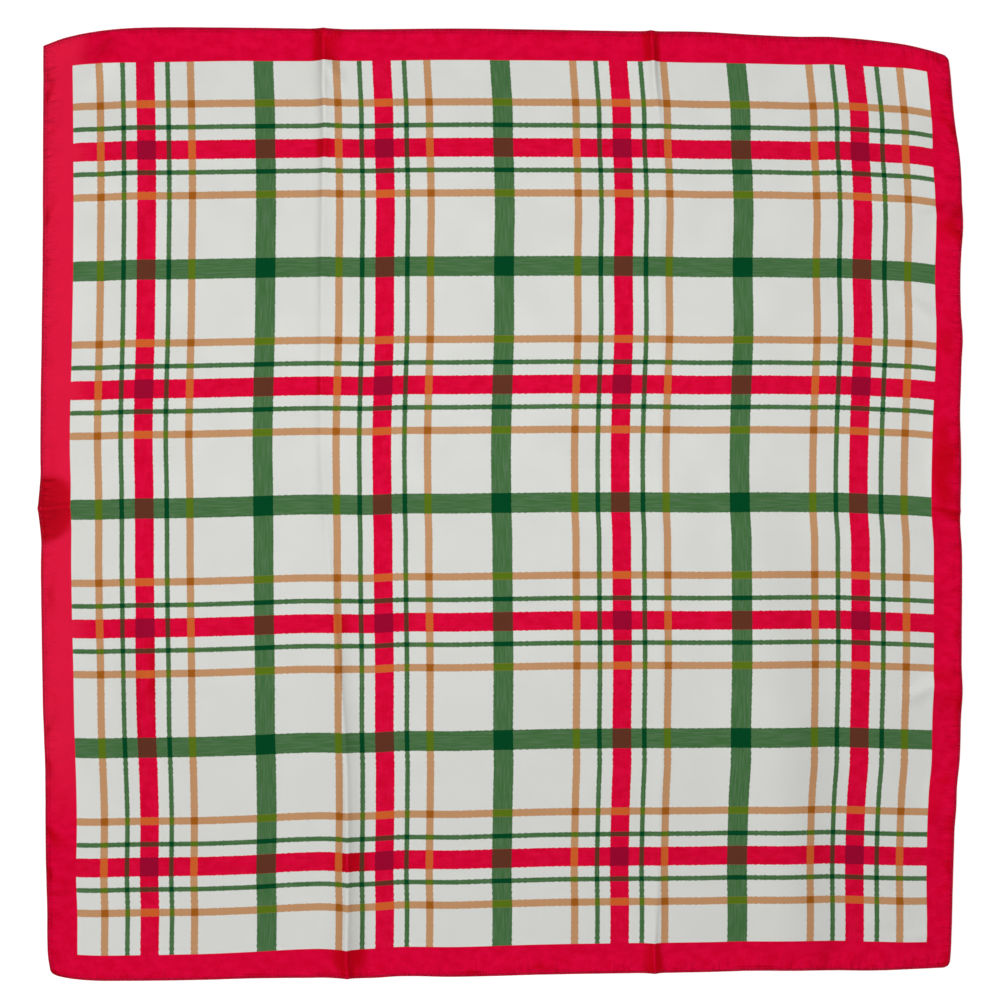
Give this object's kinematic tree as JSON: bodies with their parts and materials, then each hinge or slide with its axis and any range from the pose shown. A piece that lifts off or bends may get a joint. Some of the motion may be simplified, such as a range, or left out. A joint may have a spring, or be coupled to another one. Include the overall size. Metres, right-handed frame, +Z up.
{
  "type": "square scarf",
  "caption": "Square satin scarf opened out and laid flat, with raised fold creases, a narrow turned hem and a plaid print inside a plain border.",
  "frame": {"origin": "on the surface the scarf lies on, at the middle of its laid outline", "axes": "+Z up out of the printed side, +Y along the longer side to the top hem, +X across to the right hem"},
  "size_m": [0.869, 0.8988, 0.0122],
  "materials": {
    "printed_satin": "smooth light satin, off-white with a crimson border and crimson, green and tan plaid bands, soft sheen"
  },
  "bodies": {
    "root": {"scarf_cloth": "printed_satin"}
  },
  "joints": []
}
